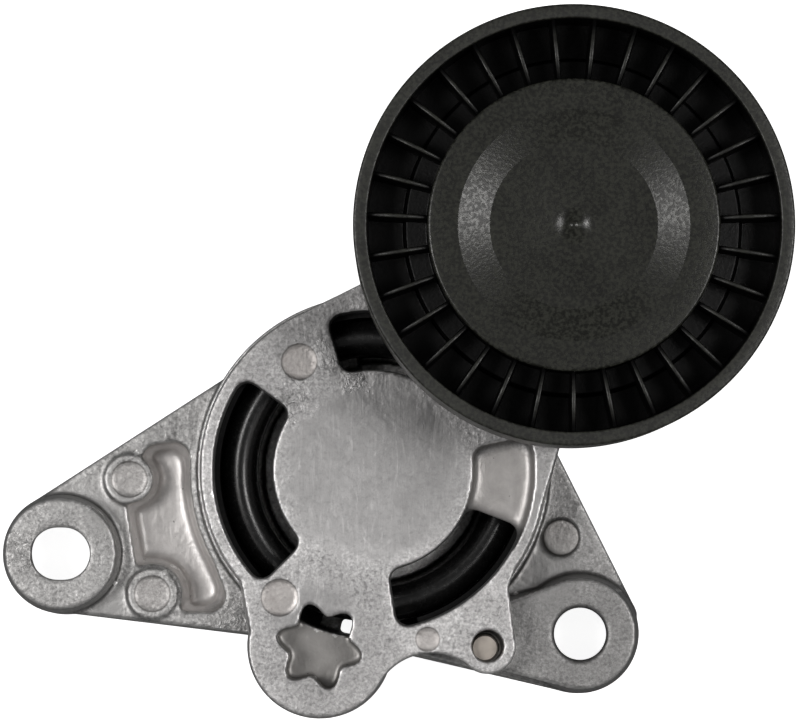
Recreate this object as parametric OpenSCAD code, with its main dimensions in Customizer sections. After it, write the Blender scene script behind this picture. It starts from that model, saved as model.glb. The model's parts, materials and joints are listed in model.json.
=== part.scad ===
// Automatic belt tensioner with its smooth idler pulley.
// The origin is on the arm's pivot axis, on the plane of the mounting face, and +Z points to the pulley.

/* [Layout] */
// Distance from the arm's pivot to the pulley's axis
arm_length = 50; // [44:0.5:60]
// Direction of the pulley's axis seen from the pivot, in degrees
arm_angle = 50.3; // [40:0.1:60]
// Distance from the cup's wall to the slotted mounting hole
left_gap = 24.1; // [22:0.1:32]
// Direction of the slotted mounting hole, in degrees
left_angle = 194.8; // [190:0.1:200]
// Distance from the cup's wall to the round mounting hole
right_gap = 14.2; // [13:0.1:20]
// Direction of the round mounting hole, in degrees
right_angle = -38.2; // [-42:0.1:-36]

/* [Base] */
// Radius of the spring cup's outer wall
cup_r = 29; // [28:0.1:35]
// Thickness of the spring cup's wall
cup_wall = 1.7; // [1.5:0.1:2.2]
// Height of the spring cup's rim over the mounting face
cup_h = 17; // [15:0.5:21]
// Thickness of the spring cup's floor
cup_floor = 3.5; // [3:0.1:5]
// Height of the webs between the cup and the ears
web_h = 13; // [10:0.5:14]
// Height of the bosses on the ears
ear_h = 20; // [16:0.5:21]
// Radius of the ears
ear_r = 10.2; // [9:0.1:12]
// Diameter of the mounting holes
mount_hole_d = 8.5; // [6.6:0.1:9]
// Extra length of the slotted hole
slot_extra = 1.1; // [0.5:0.1:3]
// Floor height of the pocket in the left web
pocket_floor = 6; // [3:0.5:9]

/* [Arm] */
// Thickness of the arm's top plate
plate_t = 5; // [4:0.5:8]
// Height of the arm's top face over the mounting face
arm_top = 28; // [26:0.5:34]
// Thickness of the arm's skirt round the spring
skirt_t = 1.2; // [1:0.1:2]
// Inner radius of the arm's windows
window_in_r = 16.5; // [15.5:0.1:18]
// Outer radius of the arm's windows
window_out_r = 25.9; // [24:0.1:26.2]
// Radius of the end of the wrench lever
lever_r = 12; // [11:0.1:14]
// Radius of the ear that holds the lock hole
tab_r = 5; // [4.5:0.1:6]
// Thickness of the ear that holds the lock hole
tab_t = 2.6; // [2:0.1:4.5]
// Depth of the wrench socket
socket_depth = 8.5; // [6:0.1:9]
// Radius to the tips of the wrench socket's six lobes
socket_tip_r = 7.1; // [6.5:0.1:8]
// Radius to the valleys between the socket's lobes
socket_root_r = 5; // [4.5:0.1:6]

/* [Pulley] */
// Diameter of the pulley's running surface
pulley_d = 70; // [58:0.5:84]
// Width of the pulley
pulley_w = 26; // [24:0.5:32]
// Thickness of the pulley's rim
rim_t = 2.2; // [2:0.1:4]
// Number of ribs on each side of the pulley
rib_count = 31; // [20:1:36]
// Thickness of each rib
rib_t = 1; // [0.8:0.1:1.6]
// Depth of the ribs under the rim's edge
rib_drop = 0.9; // [0.5:0.1:3]

/* [Bearing] */
// Outer diameter of the ball bearing
bearing_od = 40; // [40:1:44]
// Bore of the ball bearing
bearing_bore = 17; // [15:1:17]
// Width of the ball bearing
bearing_w = 12; // [11:1:13]
// Diameter of the balls
ball_d = 6.75; // [6:0.05:7]
// Number of balls
ball_count = 8; // [6:1:8]

/* [Spring and pivot] */
// Diameter of the spring's round wire
wire_d = 5.8; // [4:0.1:6]
// Number of turns of the spring
spring_turns = 2.2; // [1.5:0.1:2.4]
// Radius of the pivot shaft
shaft_r = 7; // [5.5:0.1:8]
// Wall of the pivot bushing
bushing_wall = 1.94; // [1.5:0.01:2.5]
// Radius of the lock pin
pin_r = 2.2; // [1.5:0.1:2.3]
// Running clearance on the radius of turning fits
fit_gap = 0.06; // [0.03:0.01:0.1]

/* [Hidden] */
$fn = 96;
eps = 0.01;
// How far a straight side's ends are tucked inside the arcs that they touch
tuck = 0.03;

function polar(r, a) = [r * cos(a), r * sin(a)];
function length2(v) = sqrt(v[0] * v[0] + v[1] * v[1]);
function bearing_of(v) = atan2(v[1], v[0]);
function arc(c, r, a, b, step) =
    let (n = max(1, ceil(abs(b - a) / step)))
    [for (i = [0 : n]) c + polar(r, a + (b - a) * i / n)];

// The arc of radius r that rounds the corner at p between its neighbours; a radius of 0 keeps the corner.
function corner_arc(before, p, after, r) =
    r == 0 ? [p] :
    let (
        u = (before - p) / length2(before - p),
        v = (after - p) / length2(after - p),
        half = acos(u * v) / 2,
        c = p + (u + v) / length2(u + v) * r / sin(half),
        a = bearing_of(p + u * r / tan(half) - c),
        turn = bearing_of(p + v * r / tan(half) - c) - a
    )
    arc(c, r, a, a + (turn > 180 ? turn - 360 : turn < -180 ? turn + 360 : turn), corner_step);
// An outline from a list of [corner, radius].
function rounded(corners) =
    let (n = len(corners))
    [
        for (i = [0 : n - 1])
            let (before = corners[(i + n - 1) % n][0], after = corners[(i + 1) % n][0])
            each corner_arc(before, corners[i][0], after, corners[i][1])
    ];

// Where the outer tangent of two circles touches them.
// The side is 1 for the left of the line c1 to c2, and -1 for the right.
function tangent_dir(c1, r1, c2, r2, side) =
    bearing_of(c2 - c1) + side * acos((r1 - r2) / length2(c2 - c1));
// Centre of the circle of radius r that touches circles c1 and c2 from outside, right of the line c1 to c2.
function fillet_centre(c1, r1, c2, r2, r) =
    let (
        d = length2(c2 - c1),
        along = ((r1 + r) * (r1 + r) - (r2 + r) * (r2 + r) + d * d) / (2 * d),
        down = sqrt((r1 + r) * (r1 + r) - along * along),
        u = (c2 - c1) / d
    )
    c1 + along * u + down * [u[1], -u[0]];

pulley_axis = polar(arm_length, arm_angle);
left_hole = polar(cup_r + left_gap, left_angle);
right_hole = polar(cup_r + right_gap, right_angle);
hole_r = mount_hole_d / 2;

// Base
cup_in_r = cup_r - cup_wall;
boss_draft = 0.8;
boss_foot_r = ear_r - 0.3;
boss_top_r = boss_foot_r - boss_draft;
corner_low = [12, -2.2 - cup_r];
pad_clear_r = cup_r + 0.2;
disc_t = 0.5;
ejector_r = 2.95;
ejector_boss_r = 4.1;
ejector_spots = [polar(cup_r + 11.3, 181.85), polar(cup_r + 12.7, 208.95)];
ejector_depth = 0.25;
right_disc = polar(cup_r + 3.85, -19.4);
core_h = 3.2;
pocket_lip = 0.9;
pocket_lip_h = 2.5;
pocket_gap = 1.4;
pocket_corner_r = 2.6;
hole_chamfer = 0.5;

// Arm
arm_r = cup_r - 0.4;
cavity_r = arm_r - skirt_t;
plate_z = arm_top - plate_t;
skirt_z = cup_h + 0.6;
hub_z = 19.5;
hub_r = window_in_r - 0.4;
neck_end_r = 8;
post_r = 11;
lever = [-8.75, 0.3 - cup_r];
tab = [18.7, 0.4 - cup_r];
lever_fillet_r = 9.2;
socket_turn = 45;
socket_step = 5;
lever_fillet = fillet_centre(lever, lever_r, tab, tab_r, lever_fillet_r);
lock_hole_r = pin_r + 0.4;
pin_spot = tab - [0.45, 0.35];
pin_bore_gap = 0.1;
pin_slot_gap = 0.7;
pin_tip_gap = 0.2;
pin_bend_r = 3.4;
pin_chamfer = 0.25;
handle_end = polar(cup_r + pin_r + 1.5, -22);
handle_z = pin_r + 0.8;
handle_slot_h = 2 * pin_r + 2.2;
windows = [[144.3, 225.2], [-81, -21], [40, 106.8]];
blind_pocket = [-33, 12];
blind_depth = 3;
window_corner_r = 2;
arc_step = 3;
corner_step = 18;
arm_marks = [[-12, 17.7, 2.9], [-15.2, -20.7, 3], [8.9, -27.5, 1.95]];
mark_depth = 0.25;

// Pulley and bearing, in Z
pulley_r = pulley_d / 2;
pulley_z = arm_top + 5;
pulley_top = pulley_z + pulley_w;
bearing_z = pulley_z + 6;
bearing_top = bearing_z + bearing_w;
bearing_r = bearing_od / 2;
bore_r = bearing_bore / 2;
pitch_r = (bearing_r + bore_r) / 2;
race_t = (bearing_r - bore_r) * 0.27;
groove_r = ball_d / 2 + 0.12;
shield_t = 1;
shield_dish = 0.6;
post_top = bearing_z - shield_t;
hub_wall = 3.2;
hub_out_r = bearing_r + hub_wall;
rib_in_r = hub_out_r - 0.5;
ledge_r = hub_out_r + 3.5;
cap_rim_t = 1.4;
cap_top = pulley_top - 0.3;
cap_floor = cap_top - cap_rim_t;
cap_dish = 1.2;
cap_ring_w = 4.8;
cap_cone_w = 5.1;
cap_edge = 0.4;
clip_t = 1.2;
gate_r = 1.8;
gate_depth = 0.7;
seal_t = 1;
seal_sink = 0.2;
cage_side_gap = 0.6;
cage_wall = ball_d * 0.34;
ball_gap = 0.15;
pulley_middle = pulley_z + pulley_w / 2;
web_t = 3;
rim_edge = 0.5;
rib_turn = 2.8;
step_h = 2.5;
lip_in_r = bearing_r - 0.8;
clip_r = bearing_r + 1.2;
clip_gap = 1.4;

// Bolt
bolt_r = 5;
bolt_washer_t = 1.2;
bolt_head_z = bearing_top + bolt_washer_t;
bolt_head_h = 3.4;
bolt_tip_z = arm_top - 3;
across_flats = 15;
hex_socket_r = 4.6;
hex_floor = 1.2;

// Pivot stack, in Z
recess_r = 15.5;
recess_h = 4.5;
tube_r = shaft_r + bushing_wall + 3.5;
bushing_r = shaft_r + bushing_wall;
bushing_flange_t = 1.1;
tube_top = hub_z - fit_gap - bushing_flange_t;
shaft_top = arm_top - 2.7;
plate_low = 1.9;
plate_thick = 1.2;
wave_t = 0.7;
rivet_low = 0.7;

// Spring
spring_mean_r = cavity_r - 2.6 - wire_d / 2;
spring_low = cup_floor + wire_d / 2;
spring_high = plate_z - 0.3 - wire_d / 2;
spring_end_angle = 25;
spring_start_angle = spring_end_angle + 360 * spring_turns;
stop_span = 13;
wire_sides = 10;
rings_per_turn = 26;
sleeve_in_r = spring_mean_r + wire_d / 2 + 0.3;
damper_out_r = cup_in_r - fit_gap;
sleeve_out_r = cup_in_r - fit_gap;
damper_z = 9.5;
damper_flange_t = 1;
drain_angle = bearing_of(lever) + 9.5;
drain_span = 24;
drain_slot_half = 4.5;

module link_2d(c1, r1, c2, r2) {
    left = tangent_dir(c1, r1, c2, r2, 1);
    right = tangent_dir(c1, r1, c2, r2, -1);
    translate(c1) circle(r1);
    translate(c2) circle(r2);
    polygon([
        c1 + polar(r1 - tuck, left), c1 + polar(r1 - tuck, right),
        c2 + polar(r2 - tuck, right), c2 + polar(r2 - tuck, left)
    ]);
}

// A ring between two heights.
module tube(r_out, r_in, z, h) {
    translate([0, 0, z]) linear_extrude(h) difference() {
        circle(r_out);
        circle(r_in);
    }
}

// A sector of a ring from angle a to angle b.
module ring_sector(r_out, r_in, a, b, z, h) {
    rotate(a) rotate_extrude(angle = b - a) translate([r_in, z]) square([r_out - r_in, h]);
}

// A window's outline: a sector of a ring from angle a to angle b, with corners of radius c.
module window_2d(r_in, r_out, a, b, c) {
    trim_in = asin(c / (r_in + c));
    trim_out = asin(c / (r_out - c));
    polygon(concat(
        arc([0, 0], r_out, a + trim_out, b - trim_out, arc_step),
        arc(polar(r_out - c, b - trim_out), c, b, b + 90, corner_step),
        arc(polar(r_in + c, b - trim_in), c, b + 90, b + 180 - trim_in, corner_step),
        arc([0, 0], r_in, b - trim_in, a + trim_in, arc_step),
        arc(polar(r_in + c, a + trim_in), c, a + 180 + trim_in, a + 270, corner_step),
        arc(polar(r_out - c, a + trim_out), c, a - 90, a, corner_step)
    ));
}

module on_pulley_axis() {
    translate([pulley_axis[0], pulley_axis[1], 0]) children();
}

module base_outline() {
    left_high = left_hole + polar(ear_r - tuck, 121.7);
    left_low = left_hole + polar(ear_r - tuck, -83);
    right_low = right_hole + polar(ear_r - tuck, -105);
    circle(cup_r);
    translate(left_hole) circle(ear_r);
    link_2d([0, 0], cup_r - 0.5, right_hole, ear_r);
    polygon([left_high, left_low, corner_low, right_low, right_hole, [0, 0], polar(cup_r - tuck, 147.7)]);
}

// The pocket in the left web; inset moves its wall inwards from the mouth's outline.
module left_pocket_2d(inset) {
    wall_r = cup_r + pocket_gap + inset;
    difference() {
        polygon(rounded(concat(
            [
                [left_hole + [13.74 + inset, 17.86 - inset], pocket_corner_r],
                [polar(wall_r + 0.35, 170.3) - [0, inset], pocket_corner_r]
            ],
            [for (p = arc([0, 0], wall_r, 180, 210, 2 * arc_step)) [p, 0]],
            [
                [polar(cup_r + 3.95, 225) + [-inset, inset], pocket_corner_r],
                [left_hole + [20.1 + inset, -9.5 + inset], 1],
                [left_hole + [12.14 + inset, -1.64], 0],
                [left_hole + [10.64 + inset, 7.96 - inset / 2], 0]
            ]
        )));
        translate(ejector_spots[0]) circle(ejector_boss_r - 0.2 + inset);
        translate(ejector_spots[1]) circle(ejector_boss_r + 1 + inset);
    }
}

module base_bracket() {
    color([0.55, 0.55, 0.55]) difference() {
        union() {
            linear_extrude(web_h) base_outline();
            cylinder(r = cup_r, h = cup_h);
            translate([left_hole[0], left_hole[1], 0]) ear_boss();
            translate([right_hole[0], right_hole[1], 0]) ear_boss();
            right_pad();
            for (spot = ejector_spots) {
                translate([spot[0], spot[1], web_h - eps]) cylinder(r = ejector_boss_r, h = disc_t);
            }
            translate([right_disc[0], right_disc[1], web_h - eps]) cylinder(r = ejector_r, h = disc_t);
        }
        spring_room();
        for (spot = ejector_spots) {
            translate([spot[0], spot[1], web_h + disc_t - ejector_depth]) cylinder(r = ejector_r, h = 1);
        }
        translate([0, 0, web_h - pocket_lip_h]) linear_extrude(web_h) left_pocket_2d(0);
        translate([0, 0, pocket_floor]) linear_extrude(web_h) left_pocket_2d(pocket_lip);
        translate([0, 0, -1]) linear_extrude(core_h + 1) left_core_2d();
        mounting_holes();
        lock_pin_room();
    }
}

// The hollow under the left web, between the cup and the ear.
module left_core_2d() {
    difference() {
        polygon([
            polar(cup_r + 2, 165),
            left_hole + [10.5, 11.5],
            left_hole + polar(ear_r + 2, -35),
            polar(cup_r + 2, 222)
        ]);
        circle(cup_r + 0.8);
    }
}

module ear_boss() {
    cylinder(r = ear_r, h = web_h);
    translate([0, 0, web_h - eps]) cylinder(r1 = boss_foot_r, r2 = boss_top_r, h = ear_h - web_h + eps);
}

// The raised pad that carries the lock pin and joins the right ear's boss.
module right_pad() {
    difference() {
        translate([0, 0, web_h - eps]) linear_extrude(ear_h - web_h + eps) {
            polygon([
                right_hole + polar(boss_top_r, 112),
                pin_spot + [2.5, 7],
                pin_spot + [-4.6, 1.2],
                pin_spot + [-4.6, -1.9],
                right_hole + polar(boss_top_r, -105)
            ]);
        }
        cylinder(r = pad_clear_r, h = ear_h + 1);
    }
}

// The cup's hollow round the pivot tube, with its stop for the spring and the recess underneath.
module spring_room() {
    difference() {
        translate([0, 0, cup_floor]) cylinder(r = cup_in_r, h = cup_h);
        cylinder(r = tube_r, h = tube_top);
        cylinder(r = spring_mean_r - wire_d / 2 - 0.8, h = recess_h + 3.5);
        ring_sector(
            sleeve_in_r - 0.1,
            spring_mean_r - wire_d / 2 - 1.5,
            spring_start_angle + 0.3,
            spring_start_angle + stop_span,
            0,
            spring_low + wire_d / 2 - 0.5
        );
    }
    translate([0, 0, -1]) cylinder(r = recess_r, h = recess_h + 1);
    cylinder(r = bushing_r, h = arm_top);
    translate([0, 0, tube_top]) cylinder(r = tube_r + 1, h = arm_top);
    ring_sector(
        cup_in_r - 0.1,
        sleeve_in_r - 0.2,
        drain_angle - drain_slot_half,
        drain_angle + drain_slot_half,
        -1,
        cup_floor + 2
    );
}

module mounting_holes() {
    translate([right_hole[0], right_hole[1], 0]) {
        translate([0, 0, -1]) cylinder(r = hole_r, h = ear_h + 2);
        translate([0, 0, ear_h - hole_chamfer]) {
            cylinder(r1 = hole_r, r2 = hole_r + 2 * hole_chamfer, h = 2 * hole_chamfer);
        }
    }
    translate([left_hole[0], left_hole[1], -1]) linear_extrude(ear_h + 2) {
        for (side = [-1, 1]) {
            translate([side * slot_extra / 2, 0]) circle(hole_r);
        }
        square([slot_extra, mount_hole_d], center = true);
    }
}

// The lock pin's bore and the slot under the web for its handle.
module lock_pin_room() {
    slot_r = pin_r + pin_slot_gap;
    translate([pin_spot[0], pin_spot[1], -1]) cylinder(r = pin_r + pin_bore_gap, h = ear_h + 3);
    translate([0, 0, -1]) linear_extrude(handle_slot_h + 1) {
        link_2d(pin_spot, slot_r, handle_end, slot_r + eps);
    }
}

module lock_pin() {
    run = handle_end - pin_spot;
    tip_z = arm_top - tab_t - pin_tip_gap;
    color([0.48, 0.45, 0.42]) translate([pin_spot[0], pin_spot[1], 0]) rotate(bearing_of(run)) {
        cylinder_from(handle_z + pin_bend_r, tip_z - pin_chamfer, pin_r);
        translate([0, 0, tip_z - pin_chamfer]) {
            cylinder(r1 = pin_r, r2 = pin_r - pin_chamfer, h = pin_chamfer);
        }
        translate([pin_bend_r, 0, handle_z + pin_bend_r]) rotate([90, 0, 0]) {
            rotate_extrude(angle = 90, start = 180) translate([pin_bend_r, 0]) circle(pin_r);
        }
        translate([pin_bend_r, 0, handle_z]) rotate([0, 90, 0]) {
            cylinder(r = pin_r, h = length2(run) - pin_bend_r);
        }
    }
}

module pivot_bushing() {
    color([0.15, 0.15, 0.15]) {
        tube(bushing_r, shaft_r + fit_gap, recess_h, tube_top - recess_h);
        tube(tube_r - 0.2, shaft_r + fit_gap, tube_top, bushing_flange_t);
    }
}

module thrust_washer() {
    color([0.7, 0.7, 0.7]) tube(tube_r - 0.5, shaft_r + 0.3, plate_low + plate_thick + wave_t + 0.1, 0.6);
}

module wave_washer() {
    color([0.6, 0.6, 0.62]) tube(tube_r - 0.8, shaft_r + 0.3, plate_low + plate_thick + fit_gap, wave_t);
}

module retaining_plate() {
    color([0.7, 0.7, 0.7]) tube(recess_r - 2, shaft_r - 2, plate_low, plate_thick);
}

module pivot_shaft() {
    color([0.7, 0.7, 0.72]) {
        translate([0, 0, plate_low + plate_thick]) {
            cylinder(r = shaft_r, h = shaft_top - plate_low - plate_thick);
        }
        translate([0, 0, rivet_low]) cylinder(r = shaft_r - 2, h = shaft_top - 1);
        translate([0, 0, rivet_low]) {
            cylinder(r1 = shaft_r - 1.2, r2 = shaft_r - 0.2, h = plate_low - rivet_low);
        }
    }
}

module torsion_spring() {
    rings = ceil(rings_per_turn * spring_turns);
    points = [
        for (i = [0 : rings], j = [0 : wire_sides - 1])
            let (
                t = i / rings,
                a = spring_start_angle + (spring_end_angle - spring_start_angle) * t,
                r = spring_mean_r + wire_d / 2 * cos(360 * j / wire_sides),
                z = spring_low + (spring_high - spring_low) * t + wire_d / 2 * sin(360 * j / wire_sides)
            )
            [r * cos(a), r * sin(a), z]
    ];
    sides = [
        for (i = [0 : rings - 1], j = [0 : wire_sides - 1])
            let (a = i * wire_sides + j, b = i * wire_sides + (j + 1) % wire_sides)
            [a, b, b + wire_sides, a + wire_sides]
    ];
    first = [for (j = [wire_sides - 1 : -1 : 0]) j];
    last = [for (j = [0 : wire_sides - 1]) rings * wire_sides + j];
    color([0.08, 0.08, 0.08]) polyhedron(points, concat(sides, [first, last]), convexity = 6);
}

module spring_sleeve() {
    color([0.1, 0.1, 0.1]) {
        ring_sector(
            sleeve_out_r,
            sleeve_in_r,
            drain_angle + drain_span / 2,
            drain_angle + 360 - drain_span / 2,
            cup_floor,
            damper_z - 0.4 - cup_floor
        );
    }
}

module damper_shoe() {
    color([0.1, 0.1, 0.1]) {
        ring_sector(
            damper_out_r,
            sleeve_in_r,
            drain_angle + drain_span,
            drain_angle + 360 - drain_span,
            damper_z,
            plate_z - damper_z
        );
        ring_sector(
            cavity_r,
            sleeve_in_r,
            drain_angle + drain_span,
            drain_angle + 360 - drain_span,
            plate_z - damper_flange_t,
            damper_flange_t
        );
    }
}

module lever_outline() {
    translate(lever) circle(lever_r);
    polygon([polar(arm_r - tuck, 219.7), lever + polar(lever_r - tuck, 168), lever, [0, 0]]);
}

module tab_outline() {
    touch_lever = lever + polar(lever_r - 3 * tuck, bearing_of(lever_fillet - lever));
    touch_tab = tab + polar(tab_r - 3 * tuck, bearing_of(lever_fillet - tab));
    translate(tab) circle(tab_r);
    difference() {
        polygon([
            [0, 0], lever, touch_lever, lever_fillet, touch_tab, tab,
            tab + polar(tab_r - tuck, 7), tab + [3.8, 9.5], polar(arm_r - tuck, -34.2)
        ]);
        translate(lever_fillet) circle(lever_fillet_r + tuck);
    }
}

module socket_2d() {
    middle_r = (socket_tip_r + socket_root_r) / 2;
    wave = (socket_tip_r - socket_root_r) / 2;
    polygon([
        for (a = [0 : socket_step : 359])
            lever + polar(middle_r + wave * cos(6 * (a - socket_turn)), a)
    ]);
}

module tensioner_arm() {
    color([0.72, 0.72, 0.71]) difference() {
        union() {
            translate([0, 0, skirt_z]) linear_extrude(arm_top - skirt_z) {
                circle(arm_r);
                link_2d([0, 0], arm_r, pulley_axis, neck_end_r);
                lever_outline();
            }
            translate([0, 0, arm_top - tab_t]) linear_extrude(tab_t) tab_outline();
            on_pulley_axis() {
                translate([0, 0, skirt_z]) cylinder(r = post_r + 1, h = arm_top + 1 - skirt_z);
                translate([0, 0, arm_top]) cylinder(r1 = post_r + 0.8, r2 = post_r, h = post_top - arm_top);
                cylinder_from(post_top - 1, bearing_top - 1, bore_r);
            }
        }
        arm_cavity();
        translate([0, 0, plate_z - 1]) linear_extrude(plate_t + 2) {
            for (w = windows) {
                window_2d(window_in_r, window_out_r, w[0], w[1], window_corner_r);
            }
        }
        translate([0, 0, arm_top - blind_depth]) linear_extrude(blind_depth + 1) {
            window_2d(window_in_r, window_out_r + 0.2, blind_pocket[0], blind_pocket[1], window_corner_r);
        }
        translate([0, 0, arm_top - socket_depth]) linear_extrude(socket_depth + 1) socket_2d();
        translate([tab[0], tab[1], plate_z - 1]) cylinder(r = lock_hole_r, h = plate_t + 2);
        for (m = arm_marks) {
            translate([m[0], m[1], arm_top - mark_depth]) cylinder(r = m[2], h = 1);
        }
        on_pulley_axis() cylinder_from(bolt_tip_z - 1, pulley_top, bolt_r);
        neck_hollow();
    }
}

// The hollow under the neck, between the skirt and the post.
module neck_hollow() {
    near = arm_r + 2;
    far = arm_length - post_r - 2.2;
    translate([0, 0, skirt_z - 1]) linear_extrude(plate_z - skirt_z + 1) rotate(arm_angle) {
        polygon([[near, -11], [far, -7.5], [far, 7.5], [near, 11]]);
    }
}

module cylinder_from(low, high, r) {
    translate([0, 0, low]) cylinder(r = r, h = high - low);
}

// The hollow under the arm's plate round its hub, with the hub's stop for the spring left standing.
module arm_cavity() {
    difference() {
        cylinder_from(skirt_z - 1, plate_z, cavity_r);
        cylinder_from(hub_z, plate_z + 1, hub_r);
        ring_sector(
            spring_mean_r + wire_d / 2,
            hub_r - 1,
            spring_end_angle - stop_span,
            spring_end_angle - 0.3,
            spring_high - wire_d / 2 + 0.4,
            wire_d + 1
        );
    }
    cylinder_from(hub_z - 1, shaft_top, shaft_r);
}

module bearing_inner_race() {
    color([0.75, 0.75, 0.77]) on_pulley_axis() race(bore_r + race_t, bore_r);
}

module bearing_outer_race() {
    color([0.75, 0.75, 0.77]) on_pulley_axis() race(bearing_r, bearing_r - race_t);
}

module race(r_out, r_in) {
    rotate_extrude() difference() {
        translate([r_in, bearing_z]) square([r_out - r_in, bearing_w]);
        translate([pitch_r, bearing_z + bearing_w / 2]) circle(groove_r);
    }
}

module each_ball() {
    for (k = [0 : ball_count - 1]) {
        rotate(360 * k / ball_count) translate([pitch_r, 0, bearing_z + bearing_w / 2]) children();
    }
}

module bearing_balls() {
    color([0.8, 0.8, 0.82]) on_pulley_axis() each_ball() sphere(d = ball_d);
}

module bearing_cage() {
    cage_w = bearing_w - 2 * seal_t - 2 * cage_side_gap;
    cage_z = bearing_z + seal_t + cage_side_gap;
    color([0.35, 0.28, 0.2]) on_pulley_axis() difference() {
        tube(pitch_r + cage_wall / 2, pitch_r - cage_wall / 2, cage_z, cage_w);
        each_ball() rotate([0, 90, 0]) cylinder(d = ball_d + 2 * ball_gap, h = ball_d, center = true);
    }
}

module seal(z) {
    on_pulley_axis() tube(bearing_r - race_t, bore_r + race_t + 0.2, z, seal_t);
}

module front_seal() {
    color([0.12, 0.12, 0.12]) seal(bearing_top - seal_t - seal_sink);
}

module rear_seal() {
    color([0.12, 0.12, 0.12]) seal(bearing_z + seal_sink);
}

module rear_dust_shield() {
    shield_r = bearing_r - 1.4;
    seat_r = bore_r + race_t - 0.6;
    color([0.5, 0.5, 0.52]) on_pulley_axis() rotate_extrude() polygon([
        [bore_r, post_top], [seat_r, post_top], [seat_r + 1, post_top - shield_dish],
        [shield_r, post_top - shield_dish], [shield_r, bearing_z - shield_dish],
        [seat_r + 1, bearing_z - shield_dish], [seat_r, bearing_z], [bore_r, bearing_z]
    ]);
}

module bolt_washer() {
    washer_r = bore_r + race_t - 0.3;
    color([0.7, 0.7, 0.72]) on_pulley_axis() tube(washer_r, bolt_r + 0.2, bearing_top, bolt_washer_t);
}

module pulley_bolt() {
    head_r = across_flats / 2 / cos(30);
    color([0.66, 0.66, 0.68]) on_pulley_axis() difference() {
        union() {
            cylinder_from(bolt_tip_z, bolt_head_z, bolt_r);
            translate([0, 0, bolt_head_z]) cylinder(r = head_r, h = bolt_head_h, $fn = 6);
        }
        translate([0, 0, bolt_head_z + hex_floor]) cylinder(r = hex_socket_r, h = bolt_head_h, $fn = 6);
    }
}

module rib_ring(z, h) {
    translate([0, 0, z]) linear_extrude(h) intersection() {
        difference() {
            circle(pulley_r - rim_t + 0.3);
            circle(rib_in_r);
        }
        for (k = [0 : rib_count - 1]) {
            rotate(rib_turn + 360 * k / rib_count) translate([0, -rib_t / 2]) square([pulley_r, rib_t]);
        }
    }
}

module pulley() {
    rim_in_r = pulley_r - rim_t;
    rib_h = pulley_w / 2 - rib_drop;
    web_low = pulley_middle - web_t / 2;
    web_high = pulley_middle + web_t / 2;
    lip_top = bearing_top + clip_gap;
    lip_low = bearing_z - clip_gap - 0.2;
    color([0.2, 0.2, 0.19]) on_pulley_axis() difference() {
        union() {
            rib_ring(pulley_middle, rib_h);
            rib_ring(pulley_z + rib_drop, rib_h);
            rotate_extrude() polygon([
                [rim_in_r, pulley_z + rim_edge], [rim_in_r + rim_edge, pulley_z],
                [pulley_r - rim_edge, pulley_z], [pulley_r, pulley_z + rim_edge],
                [pulley_r, pulley_top - rim_edge], [pulley_r - rim_edge, pulley_top],
                [rim_in_r + rim_edge, pulley_top], [rim_in_r, pulley_top - rim_edge],
                [rim_in_r, web_high], [ledge_r, web_high],
                [ledge_r, web_high + step_h], [hub_out_r, web_high + step_h],
                [hub_out_r, cap_floor], [clip_r, cap_floor],
                [clip_r, lip_top], [lip_in_r, lip_top],
                [lip_in_r, bearing_top], [bearing_r, bearing_top],
                [bearing_r, bearing_z], [lip_in_r, bearing_z],
                [lip_in_r, lip_low], [hub_out_r, lip_low],
                [hub_out_r, web_low], [rim_in_r, web_low]
            ]);
        }
        cylinder_from(cap_floor, pulley_top, hub_out_r + 0.1);
    }
}

module dust_cap() {
    ring_in_r = hub_out_r - cap_ring_w;
    centre_r = ring_in_r - cap_cone_w;
    dish_z = cap_top - cap_dish;
    clip_in_r = clip_r - clip_t;
    clip_z = bearing_top + clip_gap + 0.6;
    color([0.23, 0.23, 0.21]) on_pulley_axis() rotate_extrude() polygon([
        [0, cap_floor - cap_dish], [centre_r, cap_floor - cap_dish], [ring_in_r, cap_floor],
        [clip_in_r, cap_floor], [clip_in_r, clip_z], [clip_r, clip_z],
        [clip_r, cap_floor], [hub_out_r, cap_floor], [hub_out_r, cap_top - cap_edge],
        [hub_out_r - cap_edge, cap_top], [ring_in_r, cap_top], [centre_r, dish_z],
        [gate_r, dish_z], [gate_r / 2, dish_z - gate_depth], [0, dish_z - gate_depth]
    ]);
}

base_bracket();
pivot_bushing();
thrust_washer();
wave_washer();
torsion_spring();
spring_sleeve();
tensioner_arm();
pivot_shaft();
retaining_plate();
damper_shoe();
rear_dust_shield();
bearing_inner_race();
pulley_bolt();
bolt_washer();
bearing_balls();
bearing_cage();
bearing_outer_race();
front_seal();
rear_seal();
pulley();
dust_cap();
lock_pin();
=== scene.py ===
"""Looks of the belt tensioner: cast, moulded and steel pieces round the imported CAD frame."""

import json
import math

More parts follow.
